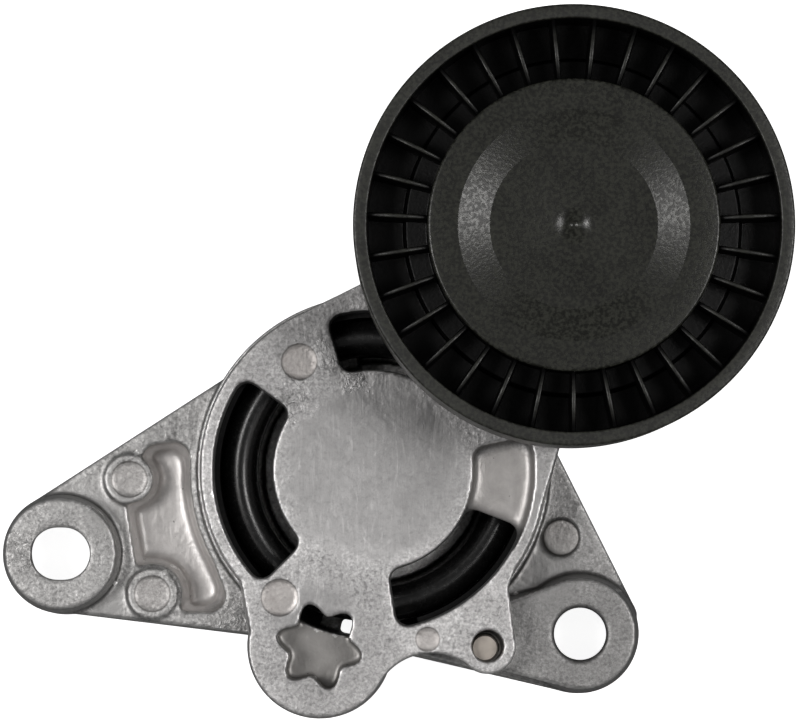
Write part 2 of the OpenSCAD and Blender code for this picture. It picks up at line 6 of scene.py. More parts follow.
import bmesh
import bpy
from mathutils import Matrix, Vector


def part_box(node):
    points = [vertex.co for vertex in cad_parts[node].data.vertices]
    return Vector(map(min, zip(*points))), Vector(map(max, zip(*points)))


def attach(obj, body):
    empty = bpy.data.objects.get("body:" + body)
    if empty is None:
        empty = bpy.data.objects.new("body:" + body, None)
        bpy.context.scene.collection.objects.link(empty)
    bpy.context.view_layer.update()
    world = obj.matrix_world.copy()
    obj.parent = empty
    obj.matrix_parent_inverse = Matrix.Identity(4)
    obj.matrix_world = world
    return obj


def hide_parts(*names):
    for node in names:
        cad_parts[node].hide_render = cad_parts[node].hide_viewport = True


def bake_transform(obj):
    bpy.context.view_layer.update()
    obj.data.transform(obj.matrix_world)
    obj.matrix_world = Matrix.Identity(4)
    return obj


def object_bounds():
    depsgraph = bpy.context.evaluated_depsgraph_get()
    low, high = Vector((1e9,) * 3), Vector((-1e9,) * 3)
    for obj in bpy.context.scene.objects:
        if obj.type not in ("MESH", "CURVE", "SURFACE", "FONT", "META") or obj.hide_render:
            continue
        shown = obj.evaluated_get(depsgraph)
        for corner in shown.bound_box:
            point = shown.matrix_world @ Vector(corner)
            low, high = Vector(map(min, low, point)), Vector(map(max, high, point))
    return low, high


MM = 0.001
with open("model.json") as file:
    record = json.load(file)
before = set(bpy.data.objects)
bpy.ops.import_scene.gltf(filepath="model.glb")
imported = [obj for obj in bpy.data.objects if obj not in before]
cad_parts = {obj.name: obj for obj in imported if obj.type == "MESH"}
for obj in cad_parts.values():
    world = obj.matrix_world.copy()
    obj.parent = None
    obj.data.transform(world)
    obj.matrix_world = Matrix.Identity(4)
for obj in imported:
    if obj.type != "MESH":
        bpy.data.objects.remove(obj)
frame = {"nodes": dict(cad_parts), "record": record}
cad_low, cad_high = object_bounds()
nodes = frame["nodes"]
scene = bpy.context.scene

# Places on the castings in mm, seen along the pivot's axis
LEFT_HOLE = (-51.34, -13.56)
RIGHT_HOLE = (33.95, -26.71)
LEVER = (-8.75, -28.7)
LOCK_HOLE = (18.7, -28.6)
PIN_SPOT = (18.25, -28.95)
ARM_MARKS = [(-12, 17.7, 2.9), (-15.2, -20.7, 3), (8.9, -27.5, 1.95)]
POCKET = (-34, -9.5)
HOLE_FLARE = 1.0
# How far features reach round their middles in mm, which bounds the draft and the fillets
BOLT_HOLE_REACH = 5.3
EAR_REACH = 11
POCKET_REACH = 17.5
PIN_BORE_REACH = 2.7
HANDLE_REACH = 14
HANDLE_SLOT_TOP = 5.5
CUP_REACH = 29.2
SOCKET_REACH = 7.4
LOCK_HOLE_REACH = 3.2
PULLEY_BOSS_REACH = 13
WINDOW_REACH = 27.6
# How far the walls lean over their height in mm
EAR_LEAN = 0.3
WEB_LEAN = 0.8
PAD_LEAN = 0.9
WINDOW_LEAN = 0.2
SKIRT_LEAN = 0.5
# The pulley's ribs: how many, and the first one's bearing in degrees
RIB_COUNT = 31
FIRST_RIB = 2.8
# The spring's wire and coil in mm, its turns, and the bearing of its top end in degrees
WIRE_R = 2.9
COIL_R = 21.9
TURNS = 2.2
TOP_END = 25
# Heights on the castings in mm
WEB_TOP = 13
SKIRT_LOW = 17.6
PLATE_LOW = 23
ARM_TOP = 28


def node_box(name):
    """A CAD node's lowest and highest corner at rest."""
    low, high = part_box(name)
    return Vector(low), Vector(high)


pulley_low, pulley_high = node_box("pulley")
pulley_axis = (pulley_low + pulley_high) / 2
pulley_axis.z = 0


# ---------------------------------------------------------------- camera, lights, floor

def make_camera():
    """Looks down almost along the pivot's axis from a metre over the pulley, as a product photograph does."""
    data = bpy.data.cameras.new("camera")
    data.sensor_width = 36
    data.lens = 283.5
    data.clip_start = 0.1
    data.clip_end = 10
    camera = bpy.data.objects.new("camera", data)
    scene.collection.objects.link(camera)
    camera.location = (4.4 * MM, -13 * MM, 1054 * MM)
    camera.rotation_euler = (math.radians(1.72), 0, 0)
    scene.camera = camera


def area_light(name, place, aim, size_x, size_y, watts, colour=(1, 1, 1)):
    data = bpy.data.lights.new(name, "AREA")
    data.shape = "RECTANGLE"
    data.size = size_x
    data.size_y = size_y
    data.energy = watts
    data.color = colour
    light = bpy.data.objects.new(name, data)
    scene.collection.objects.link(light)
    light.location = place
    direction = Vector(aim) - Vector(place)
    light.rotation_euler = direction.to_track_quat("-Z", "Y").to_euler()
    light.visible_camera = False


def make_lights():
    """Softboxes left and right of the camera, and a dim surround that is darker towards the floor."""
    world = bpy.data.worlds.new("studio")
    world.use_nodes = True
    tree = world.node_tree
    background = tree.nodes["Background"]
    direction = tree.nodes.new("ShaderNodeTexCoord").outputs["Generated"]
    split = tree.nodes.new("ShaderNodeSeparateXYZ")
    tree.links.new(direction, split.inputs["Vector"])
    height = tree.nodes.new("ShaderNodeMapRange")
    height.inputs["From Min"].default_value = -0.1
    height.inputs["From Max"].default_value = 0.9
    height.inputs["To Min"].default_value = 0.1
    height.inputs["To Max"].default_value = 0.2
    tree.links.new(split.outputs["Z"], height.inputs["Value"])
    background.inputs["Color"].default_value = (1, 1, 1, 1)
    tree.links.new(height.outputs["Result"], background.inputs["Strength"])
    scene.world = world
    area_light("left_softbox", (-0.47, 0.02, 0.92), (0, 0, 0.03), 0.2, 0.34, 3.5, (1, 0.985, 0.975))
    area_light("right_softbox", (0.5, 0.02, 0.92), (0, 0, 0.03), 0.2, 0.34, 3.2, (1, 0.985, 0.975))
    area_light("far_left_softbox", (-0.95, 0.1, 0.75), (0, 0, 0.02), 0.3, 0.7, 1.1)


def make_floor():
    bpy.ops.mesh.primitive_plane_add(size=6, location=(0, 0, cad_low.z - 0.3 * MM))
    floor = bpy.context.object
    floor.name = "floor"
    paper = bpy.data.materials.new("paper")
    paper.use_nodes = True
    shader = paper.node_tree.nodes["Principled BSDF"]
    shader.inputs["Base Color"].default_value = (0.93, 0.93, 0.93, 1)
    shader.inputs["Roughness"].default_value = 0.9
    shader.inputs["Specular IOR Level"].default_value = 0.1
    shader.inputs["Emission Color"].default_value = (1, 1, 1, 1)
    shader.inputs["Emission Strength"].default_value = 0.9
    floor.data.materials.append(paper)
    floor.visible_glossy = False


# ---------------------------------------------------------------- materials

class Graph:
    """A material's node tree with short calls for the nodes used here."""

    def __init__(self, name):
        self.material = bpy.data.materials.new(name)
        self.material.use_nodes = True
        self.tree = self.material.node_tree
        self.shader = self.tree.nodes["Principled BSDF"]
        self.place = self.add("ShaderNodeTexCoord").outputs["Object"]

    def add(self, kind, **values):
        node = self.tree.nodes.new(kind)
        for key, value in values.items():
            setattr(node, key, value)
        return node

    def link(self, source, target):
        self.tree.links.new(source, target)

    def noise(self, scale, detail=4, roughness=0.55, distortion=0.0, stretch=(1, 1, 1)):
        place = self.place
        if stretch != (1, 1, 1):
            mapping = self.add("ShaderNodeMapping")
            mapping.inputs["Scale"].default_value = stretch
            self.link(place, mapping.inputs["Vector"])
            place = mapping.outputs["Vector"]
        node = self.add("ShaderNodeTexNoise")
        node.inputs["Scale"].default_value = scale
        node.inputs["Detail"].default_value = detail
        node.inputs["Roughness"].default_value = roughness
        node.inputs["Distortion"].default_value = distortion
        self.link(place, node.inputs["Vector"])
        return node.outputs["Fac"]

    def ramp(self, source, low, high, out_low=0.0, out_high=1.0):
        node = self.add("ShaderNodeMapRange")
        node.inputs["From Min"].default_value = low
        node.inputs["From Max"].default_value = high
        node.inputs["To Min"].default_value = out_low
        node.inputs["To Max"].default_value = out_high
        self.link(source, node.inputs["Value"])
        return node.outputs["Result"]

    def math(self, operation, a, b):
        node = self.add("ShaderNodeMath", operation=operation)
        for socket, value in zip(node.inputs, (a, b)):
            if isinstance(value, (int, float)):
                socket.default_value = value
            else:
                self.link(value, socket)
        return node.outputs["Value"]

    def mix(self, factor, a, b):
        node = self.add("ShaderNodeMix", data_type="RGBA")
        self.link(factor, node.inputs["Factor"])
        for socket, value in ((node.inputs["A"], a), (node.inputs["B"], b)):
            if isinstance(value, tuple):
                socket.default_value = (*value, 1)
            else:
                self.link(value, socket)
        return node.outputs["Result"]

    def pointiness(self):
        return self.add("ShaderNodeNewGeometry").outputs["Pointiness"]

    def axis(self, name):
        split = self.add("ShaderNodeSeparateXYZ")
        self.link(self.place, split.inputs["Vector"])
        return split.outputs[name]

    def not_underneath(self):
        """1 except where the surface faces down."""
        split = self.add("ShaderNodeSeparateXYZ")
        self.link(self.add("ShaderNodeTexCoord").outputs["Normal"], split.inputs["Vector"])
        return self.ramp(split.outputs["Z"], -0.6, -0.3)

    def disc(self, x, y, full, none, wobble=0.0, scale=300):
        """1 within full mm of the vertical line through (x, y) and 0 beyond none mm, with a wavy border."""
        flat = self.add("ShaderNodeVectorMath", operation="MULTIPLY")
        flat.inputs[1].default_value = (1, 1, 0)
        self.link(self.place, flat.inputs[0])
        reach = self.add("ShaderNodeVectorMath", operation="DISTANCE")
        reach.inputs[1].default_value = (x * MM, y * MM, 0)
        self.link(flat.outputs["Vector"], reach.inputs[0])
        distance = reach.outputs["Value"]
        if wobble:
            wave = self.ramp(self.noise(scale, 3, 0.6), 0.2, 0.8, -wobble * MM, wobble * MM)
            distance = self.math("ADD", distance, wave)
        return self.ramp(distance, full * MM, none * MM, 1, 0)

    def ring(self, x, y, radius, width):
        """1 on the circle of radius mm round (x, y), fading to 0 over width mm on both sides."""
        inner = self.disc(x, y, radius, radius + width)
        outer = self.disc(x, y, radius - width, radius)
        return self.math("SUBTRACT", inner, outer)

    def either(self, *masks):
        result = masks[0]
        for mask in masks[1:]:
            result = self.math("MAXIMUM", result, mask)
        return result

    def bump(self, height, strength, distance, normal=None):
        node = self.add("ShaderNodeBump")
        node.inputs["Strength"].default_value = strength
        node.inputs["Distance"].default_value = distance
        self.link(height, node.inputs["Height"])
        if normal is not None:
            self.link(normal, node.inputs["Normal"])
        return node.outputs["Normal"]

    def finish(self, colour, roughness, normal=None, **constants):
        for name, value in constants.items():
            self.shader.inputs[name.replace("_", " ")].default_value = value
        for name, value in (("Base Color", colour), ("Roughness", roughness)):
            if isinstance(value, tuple):
                self.shader.inputs[name].default_value = (*value, 1)
            elif isinstance(value, (int, float)):
                self.shader.inputs[name].default_value = value
            else:
                self.link(value, self.shader.inputs[name])
        if normal is not None:
            self.link(normal, self.shader.inputs["Normal"])
        return self.material


def cast_aluminium(name, tone, smooth_discs, bright_discs, dim_discs, marks, plug_amount, painted_shade_slope, hollows):
    """As-cast aluminium: satin where the tool was smooth, crystalline elsewhere, with bright edges of painted
    highlight on rubbed metal and painted shade in creases, on one side and in the holes.

    Discs are (x, y, full, none), with the amount last for dim ones.
    Marks are the ejector marks' (x, y, radius), and plug_amount is how much they differ in tone.
    The slope paints shade over one side: its direction in x and y, and its amount.
    Hollows are (x, y, full, none, highest z, colour, amount); their colours are painted shade in the holes
    and recesses and a lighter floor in the base's pocket. All lengths are in mm.
    """
    g = Graph(name)
    shade = lambda factor: tuple(min(c * factor, 0.95) for c in tone)
    smooth = g.either(*[g.disc(*spot, 1.6) for spot in smooth_discs])
    bright_zone = g.either(*[g.disc(*spot, 2.0, 500) for spot in bright_discs])

    # Crystalline skin: flecks, dark stains in patches, bright specks
    patches = g.ramp(g.noise(140, 7, 0.72, 0.7), 0.42, 0.6)
    streaks = g.noise(1000, 4, 0.65, 0.6, (1, 0.14, 1))
    flecks = g.ramp(g.noise(2100, 3, 0.6), 0.4, 0.6)
    dark_flecks = g.ramp(g.noise(1250, 5, 0.7, 0.3), 0.52, 0.6)
    bright_flecks = g.ramp(g.noise(1700, 4, 0.7, 0.3), 0.58, 0.66)
    haze = g.ramp(g.noise(260, 5, 0.65, 1.0), 0.35, 0.7)
    colour = g.mix(flecks, shade(0.74), shade(1.16))
    colour = g.mix(g.math("MULTIPLY", patches, 0.42), colour, shade(0.5))
    colour = g.mix(g.math("MULTIPLY", dark_flecks, g.ramp(patches, 0, 1, 0.3, 0.8)), colour, shade(0.36))
    bright_amount = g.math("ADD", g.ramp(patches, 0, 1, 0.5, 0.25), g.math("MULTIPLY", bright_zone, 0.5))
    colour = g.mix(g.math("MULTIPLY", bright_flecks, bright_amount), colour, shade(2.0))

    # Satin skin: haze, clouds and fine streaks
    clouds = g.ramp(g.noise(75, 5, 0.6, 0.8), 0.36, 0.64)
    satin = g.mix(haze, shade(0.84), shade(1.14))
    satin = g.mix(g.math("MULTIPLY", clouds, 0.35), satin, shade(0.62))
    satin = g.mix(g.ramp(streaks, 0.4, 0.62, 0, 0.5), satin, shade(0.66))
    satin = g.mix(g.ramp(streaks, 0.56, 0.7, 0, 0.42), satin, shade(1.6))
    satin = g.mix(g.math("MULTIPLY", dark_flecks, 0.22), satin, shade(0.45))
    colour = g.mix(g.math("MULTIPLY", smooth, 0.9), colour, satin)

    # Painted shade on one side, darkened discs, and hollow colours, most of them painted shade
    across = g.math("MULTIPLY", g.axis("X"), painted_shade_slope[0])
    reach = g.math("ADD", across, g.math("MULTIPLY", g.axis("Y"), painted_shade_slope[1]))
    side = g.ramp(g.math("ADD", reach, g.ramp(g.noise(60, 5, 0.65), 0.2, 0.8, -9 * MM, 9 * MM)), -0.016, 0.02)
    colour = g.mix(g.math("MULTIPLY", side, painted_shade_slope[2]), colour, shade(0.25))
    # Darkened discs: the one on the arm's hub beside the pulley is painted shade, the others only darken the
    # tone
    for x, y, full, none, amount in dim_discs:
        dim = g.math("MULTIPLY", g.disc(x, y, full, none, 2, 150), amount)
        colour = g.mix(dim, colour, shade(0.3))
    upper = g.not_underneath()
    insides = []
    # Hollow colours below their tops: painted shade in the holes and recesses, a lighter floor in the base's
    # pocket
    for x, y, full, none, top, look, amount in hollows:
        below = g.ramp(g.axis("Z"), (top - 0.9) * MM, top * MM, amount, 0)
        inside = g.math("MULTIPLY", g.math("MULTIPLY", g.disc(x, y, full, none), below), upper)
        hollow_colour = g.mix(haze, tuple(c * 0.85 for c in look), tuple(c * 1.1 for c in look))
        colour = g.mix(inside, colour, hollow_colour)
        pits = g.math("MULTIPLY", g.ramp(g.noise(800, 2, 0.5), 0.28, 0.24), inside)
        colour = g.mix(pits, colour, shade(0.12))
        smooth = g.math("MAXIMUM", smooth, inside)
        insides.append(inside)
    calm = g.either(*insides)

    # Ejector marks, painted shade in the creases, and bright edges that are painted highlight on rubbed metal
    near_mark = g.either(*[g.disc(x, y, r + 0.6, r + 1.0) for x, y, r in marks])
    plug = g.math("MULTIPLY", upper, g.either(*[g.disc(x, y, r - 0.1, r) for x, y, r in marks]))
    seam = g.math("MULTIPLY", upper, g.either(*[g.ring(x, y, r, 0.22) for x, y, r in marks]))
    plug_colour = g.mix(haze, (0.36, 0.335, 0.32), (0.46, 0.435, 0.42))
    colour = g.mix(g.math("MULTIPLY", plug, plug_amount), colour, plug_colour)
    away = g.math("SUBTRACT", 1, near_mark)
    # Painted shade: concave creases darkened through pointiness, less in the hollows
    corners = g.math("MULTIPLY", g.ramp(g.pointiness(), 0.49, 0.455, 0.0, 0.6), away)
    corners = g.math("MULTIPLY", corners, g.ramp(calm, 0, 0.8, 1, 0.1))
    colour = g.mix(corners, colour, (0.11, 0.105, 0.1))
    # Painted highlight and rubbed metal: convex edges made near white through pointiness
    edges = g.math("MULTIPLY", g.ramp(g.pointiness(), 0.522, 0.552), away)
    colour = g.mix(edges, colour, (0.95, 0.94, 0.93))
    colour = g.mix(g.math("MULTIPLY", seam, 0.65), colour, (0.07, 0.065, 0.06))
    rough = g.ramp(smooth, 0, 1, 0.47, 0.38)
    rough = g.math("SUBTRACT", rough, g.math("MULTIPLY", edges, 0.12))

    # Relief: grain, crystals, lumps in the bright discs, waves and streaks
    grain = g.bump(g.noise(2300, 4, 0.7), 0.35, 0.035 * MM)
    crystals = g.add("ShaderNodeTexVoronoi", feature="F1")
    crystals.inputs["Scale"].default_value = 1250
    g.link(g.place, crystals.inputs["Vector"])
    height = g.math("ADD", g.math("MULTIPLY", crystals.outputs["Distance"], 0.6), g.noise(1500, 4, 0.7, 0.3))
    height = g.math("MULTIPLY", height, g.math("SUBTRACT", 1, g.math("MULTIPLY", smooth, 0.9)))
    normal = g.bump(height, 0.7, 0.075 * MM, grain)
    lumps = g.math("MULTIPLY", g.ramp(g.noise(620, 4, 0.65, 0.8), 0.35, 0.75), bright_zone)
    normal = g.bump(lumps, 0.7, 0.3 * MM, normal)
    normal = g.bump(g.noise(170, 3, 0.5, 0.5), 0.5, 0.4 * MM, normal)
    normal = g.bump(streaks, 0.3, 0.08 * MM, normal)
    g.link(g.ramp(calm, 0, 0.8, 0.92, 0.5), g.shader.inputs["Metallic"])
    return g.finish(colour, rough, normal)


def moulded_plastic(name, dark, light, rough, specular=0.4, painted_shade_zone=None, gloss_disc=None):
    """Satin moulded plastic with the blasted grain of its mould and faint mottling.

    deep is (middle height, half height, axis, outer radius) in mm.
    Inside it, away from its ends and outer skin, the plastic is painted black with little specular: painted
    shade in the rib cells.
    """
    g = Graph(name)
    grain = g.ramp(g.noise(1700, 3, 0.6), 0.42, 0.6)
    mottle = g.ramp(g.noise(120, 4, 0.6), 0.35, 0.65)
    share = g.math("ADD", g.math("MULTIPLY", grain, 0.8), g.math("MULTIPLY", mottle, 0.2))
    colour = g.mix(share, dark, light)
    roughness = g.ramp(grain, 0, 1, rough + 0.06, rough - 0.06)
    normal = g.bump(grain, 0.35, 0.02 * MM)
    if gloss_disc:
        roughness = g.math("SUBTRACT", roughness, g.math("MULTIPLY", g.disc(*gloss_disc), rough - 0.22))
    # Painted shade: the rib cells turn black with little specular
    if painted_shade_zone:
        far = g.math("ABSOLUTE", g.math("SUBTRACT", g.axis("Z"), painted_shade_zone[0] * MM), 0)
        outside = g.ramp(far, (painted_shade_zone[1] - 1.6) * MM, (painted_shade_zone[1] - 0.7) * MM)
        skin = g.math("SUBTRACT", 1, g.disc(*painted_shade_zone[2], painted_shade_zone[3] - 1.4, painted_shade_zone[3] - 1))
        outside = g.math("MAXIMUM", outside, skin)
        colour = g.mix(outside, (0.0022, 0.0022, 0.0023), colour)
        g.link(g.ramp(outside, 0, 1, 0.12, specular), g.shader.inputs["Specular IOR Level"])
        return g.finish(colour, roughness, normal)
    return g.finish(colour, roughness, normal, Specular_IOR_Level=specular)


def plain_steel(name, dark, light, rough):
    """Steel with faint drawn lines and stains."""
    g = Graph(name)
    lines = g.noise(500, 3, 0.6, 0, (1, 1, 8))
    stains = g.ramp(g.noise(150, 4, 0.6), 0.35, 0.7)
    colour = g.mix(stains, dark, light)
    roughness = g.ramp(lines, 0.3, 0.7, rough - 0.08, rough + 0.1)
    normal = g.bump(lines, 0.12, 0.04 * MM)
    return g.finish(colour, roughness, normal, Metallic=1.0)


def coated_wire(name):
    """Black-coated spring wire, satin, with fine pits and faint drawn marks."""
    g = Graph(name)
    pits = g.ramp(g.noise(1300, 4, 0.7), 0.35, 0.7)
    colour = g.mix(pits, (0.004, 0.004, 0.004), (0.011, 0.011, 0.011))
    roughness = g.ramp(pits, 0, 1, 0.2, 0.3)
    normal = g.bump(g.noise(1600, 3, 0.6), 0.2, 0.03 * MM)
    return g.finish(colour, roughness, normal, Specular_IOR_Level=0.45)


def make_materials():
    charcoal = (0.0035, 0.0036, 0.0024)
    charcoal_light = (0.035, 0.036, 0.0298)
    cap_centre = (pulley_axis.x / MM, pulley_axis.y / MM)
    pulley_middle = (pulley_low.z + pulley_high.z) / 2 / MM
    pulley_half = (pulley_high.z - pulley_low.z) / 2 / MM
    pulley_r = (pulley_high.x - pulley_low.x) / 2 / MM
    base_smooth = [(-43.5, -5, 2.5, 6), (-51, -2.5, 1.5, 4), (-43, -22.5, 2, 5), (27.5, -16.5, 3, 8)]
    base_bright = [(-22, -27, 2, 8), (-58, -13, 1, 4)]
    base_dim = [(*RIGHT_HOLE, 5, 14, 0.22), (*LEFT_HOLE, 8, 12, 0.08)]
    base_marks = [(-40.3, -1.3, 2.95), (-36.5, -20.2, 2.95), (31, -10.9, 2.95)]
    # a lighter floor in the pocket, and near-black painted shade in the pin's bore
    base_hollows = [
        (*POCKET, 14, 16, 12.9, (0.76, 0.735, 0.72), 0.85),
        (*PIN_SPOT, 3.6, 4.4, 21.5, (0.03, 0.028, 0.026), 0.9),
    ]
    arm_smooth = [(0, 0, 13, 16.5), (-9, -24, 4, 8), (22, -3, 5, 7.5)]
    arm_bright = [(-5, 19, 1.5, 4.5), (-13, 11.5, 1, 4), (-3.5, 15, 0.5, 2.5), (20, 12, 1, 4)]
    # the disc at (9, 11) is painted shade beside the pulley
    arm_dim = [(*LEVER, 5, 16, 0.42), (9, 11, 3, 14, 0.4), (10, -4, 2, 8, 0.12)]
    # painted shade: darker in the window's blind end and the lever socket, near black in the lock hole
    arm_hollows = [
        (22, -3, 6.2, 7.6, 27.6, (0.4, 0.38, 0.365), 0.65),
        (*LEVER, 7.6, 7.9, 24, (0.33, 0.318, 0.305), 0.85),
        (*LOCK_HOLE, 2.8, 3.2, 27.8, (0.02, 0.018, 0.017), 0.95),
    ]
    return {
        "cast_base": cast_aluminium(
            "cast_base", (0.44, 0.435, 0.43), base_smooth, base_bright, base_dim, base_marks, 0.3,
            # painted shade on the base's right side, towards the pulley
            (1, 0.3, 0.35), base_hollows,
        ),
        "cast_arm": cast_aluminium(
            "cast_arm", (0.56, 0.552, 0.55), arm_smooth, arm_bright, arm_dim, ARM_MARKS, 0.75,
            # painted shade on the arm's upper side, towards the pulley
            (0.45, 1, 0.55), arm_hollows,
        ),
        # painted shade in the pulley's rib cells
        "pulley_nylon": moulded_plastic("pulley_nylon", charcoal, charcoal_light, 0.36, 0.36,
                                        painted_shade_zone=(pulley_middle, pulley_half, cap_centre, pulley_r)),
        "cap_plastic": moulded_plastic("cap_plastic", charcoal, charcoal_light, 0.28, 0.29,
                                       gloss_disc=(*cap_centre, 2.4, 3.1)),
        # near black with little specular, partly black plastic and partly painted shade in the arm's windows
        # and under the lever
        "black_plastic": moulded_plastic("black_plastic", (0.002,) * 3, (0.004,) * 3, 0.5, 0.12),
        "cage_plastic": moulded_plastic("cage_plastic", (0.2, 0.13, 0.06), (0.28, 0.19, 0.09), 0.5),
        "seal_rubber": moulded_plastic("seal_rubber", (0.012,) * 3, (0.02,) * 3, 0.65, 0.3),
        "steel": plain_steel("steel", (0.42, 0.42, 0.43), (0.6, 0.6, 0.62), 0.34),
        "bearing_steel": plain_steel("bearing_steel", (0.6, 0.6, 0.62), (0.72, 0.72, 0.74), 0.2),
        "pin_steel": plain_steel("pin_steel", (0.36, 0.325, 0.29), (0.5, 0.455, 0.41), 0.42),
        "black_spring": coated_wire("black_spring"),
    }


# ---------------------------------------------------------------- mesh helpers

def new_piece(name, mesh, body, material, replaced):
    """A smooth-shaded piece that stands for a CAD node; one without a body has its transform baked in by its
    caller.
    """
    piece = bpy.data.objects.new(name, mesh)
    scene.collection.objects.link(piece)
    mesh.materials.clear()
    mesh.materials.append(material)
    mesh.polygons.foreach_set("use_smooth", [True] * len(mesh.polygons))
    if body:
        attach(piece, body)
    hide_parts(replaced)
    return piece


def baked(obj):
    """The object's mesh with its modifiers applied."""
    graph = bpy.context.evaluated_depsgraph_get()
    return bpy.data.meshes.new_from_object(obj.evaluated_get(graph))


def flat_distance(point, spot):
    return math.hypot(point.x - spot[0] * MM, point.y - spot[1] * MM)


def drafted(node, shift):
    """A copy of the CAD node's mesh, with its walls leaned by shift(point, normal) as on a casting."""
    edit = bmesh.new()
    edit.from_mesh(nodes[node].data)
    bmesh.ops.remove_doubles(edit, verts=edit.verts, dist=1e-6)
    edit.normal_update()
    moves = []
    for vertex in edit.verts:
        walls = []
        for face in vertex.link_faces:
            normal = face.normal
            if abs(normal.z) < 0.15 and face.calc_area() > 1e-12:
                flat = Vector((normal.x, normal.y, 0)).normalized()
                if all(flat.dot(other) < 0.995 for other in walls):
                    walls.append(flat)
        if not walls or len(walls) > 3:
            continue
        mean = sum(walls, Vector()) / len(walls)
        if mean.length < 0.35:
            continue
        direction = mean / mean.length_squared
        moves.append((vertex, direction * shift(vertex.co, mean.normalized())))
    for vertex, move in moves:
        vertex.co += move
    mesh = bpy.data.meshes.new(node + "_drafted")
    edit.to_mesh(mesh)
    edit.free()
    return mesh


def rounded(mesh, voxel, passes, name, soft_spot, soft_passes):
    """The mesh with every edge rounded, and with larger fillets where soft_spot says so."""
    holder = bpy.data.objects.new(name + "_work", mesh)
    scene.collection.objects.link(holder)
    remesh = holder.modifiers.new("remesh", "REMESH")
    remesh.mode = "VOXEL"
    remesh.voxel_size = voxel
    result = baked(holder)
    bpy.data.objects.remove(holder)
    holder = bpy.data.objects.new(name + "_soft", result)
    scene.collection.objects.link(holder)
    group = holder.vertex_groups.new(name="soft")
    for vertex in result.vertices:
        weight = soft_spot(vertex.co)
        if weight > 0:
            group.add([vertex.index], weight, "REPLACE")
    fillets = holder.modifiers.new("fillets", "SMOOTH")
    fillets.factor = 0.5
    fillets.iterations = soft_passes
    fillets.vertex_group = "soft"
    smooth = holder.modifiers.new("smooth", "SMOOTH")
    smooth.factor = 0.5
    smooth.iterations = passes
    result = baked(holder)
    result.name = name
    bpy.data.objects.remove(holder)
    return result


def lathe(name, profile, steps, centre):
    """Turns a profile of (radius, height) points about the vertical line through centre."""
    edit = bmesh.new()
    rings = []
    for radius, height in profile:
        if radius < 1e-7:
            rings.append([edit.verts.new((centre[0], centre[1], height))])
            continue
        ring = []
        for k in range(steps):
            a = 2 * math.pi * k / steps
            x = centre[0] + radius * math.cos(a)
            y = centre[1] + radius * math.sin(a)
            ring.append(edit.verts.new((x, y, height)))
        rings.append(ring)
    for a, b in zip(rings, rings[1:]):
        for k in range(steps):
            n = (k + 1) % steps
            corners = [a[k % len(a)], a[n % len(a)], b[n % len(b)], b[k % len(b)]]
            corners = list(dict.fromkeys(corners))
            if len(corners) > 2:
                edit.faces.new(corners)
    bmesh.ops.recalc_face_normals(edit, faces=edit.faces)
    mesh = bpy.data.meshes.new(name)
    edit.to_mesh(mesh)
    edit.free()
    return mesh


def rounded_profile(points, radii, segments=5):
    """Replaces each corner of a polyline by an arc of its radius."""
    out = []
    last = len(points) - 1
    for i, (point, radius) in enumerate(zip(points, radii)):
        corner = Vector(point)
        if i in (0, last) or radius <= 0:
            out.append(tuple(corner))
            continue
        before = (Vector(points[i - 1]) - corner).normalized()
        after = (Vector(points[i + 1]) - corner).normalized()
        half = before.angle(after) / 2
        reach = radius / math.tan(half)
        start = corner + before * reach
        end = corner + after * reach
        for k in range(segments + 1):
            t = k / segments
            out.append(tuple((1 - t) ** 2 * start + 2 * t * (1 - t) * corner + t * t * end))
    return out


# ---------------------------------------------------------------- pieces

def share(value, low, high):
    """0 at low, 1 at high, straight between them and held beyond."""
    return max(0, min((value - low) / (high - low), 1))


def in_pocket(point, ear_reach):
    pocket = flat_distance(point, POCKET) < POCKET_REACH * MM
    return pocket and flat_distance(point, LEFT_HOLE) > ear_reach * MM


def base_draft(point, normal):
    """Leans the outer walls in towards the top, and opens the bolt holes towards the mounting face."""
    z = point.z / MM
    ear = min(flat_distance(point, LEFT_HOLE), flat_distance(point, RIGHT_HOLE)) / MM
    pin = flat_distance(point, PIN_SPOT) / MM
    if ear < BOLT_HOLE_REACH:
        return -HOLE_FLARE * MM if z < 0.1 else 0
    if in_pocket(point, EAR_REACH + 0.2):
        return 0
    if pin < PIN_BORE_REACH or z < HANDLE_SLOT_TOP and pin < HANDLE_REACH:
        return 0
    at_web_top = abs(z - WEB_TOP) < 0.1
    if at_web_top and normal.y > 0.3 and 15 * MM < point.x and point.y < 0:
        return PAD_LEAN * MM * share(-point.x / MM, -29.5, -21.5)
    if flat_distance(point, (0, 0)) < CUP_REACH * MM or z > WEB_TOP + 0.1:
        return 0
    lean = EAR_LEAN if ear < EAR_REACH else WEB_LEAN
    return -lean * MM * min(z / WEB_TOP, 1)


def base_fillets(point):
    """1 in the left pocket, where the walls run softly into the floor."""
    z = point.z / MM
    if z > WEB_TOP - 0.5 or z < 5 or flat_distance(point, (0, 0)) < (CUP_REACH + 0.3) * MM:
        return 0
    return 1 if in_pocket(point, EAR_REACH) else 0


def arm_draft(point, normal):
    """Opens the windows and leans the skirt in towards the top."""
    z = point.z / MM
    if any(flat_distance(point, (x, y)) < (r + 0.3) * MM for x, y, r in ARM_MARKS):
        return 0
    places = ((LOCK_HOLE, LOCK_HOLE_REACH), (LEVER, SOCKET_REACH), (pulley_axis / MM, PULLEY_BOSS_REACH))
    if any(flat_distance(point, spot) < reach * MM for spot, reach in places):
        return 0
    if flat_distance(point, (0, 0)) < WINDOW_REACH * MM:
        return -WINDOW_LEAN * MM * share(z, PLATE_LOW, ARM_TOP)
    return -SKIRT_LEAN * MM * share(z, SKIRT_LOW, ARM_TOP)


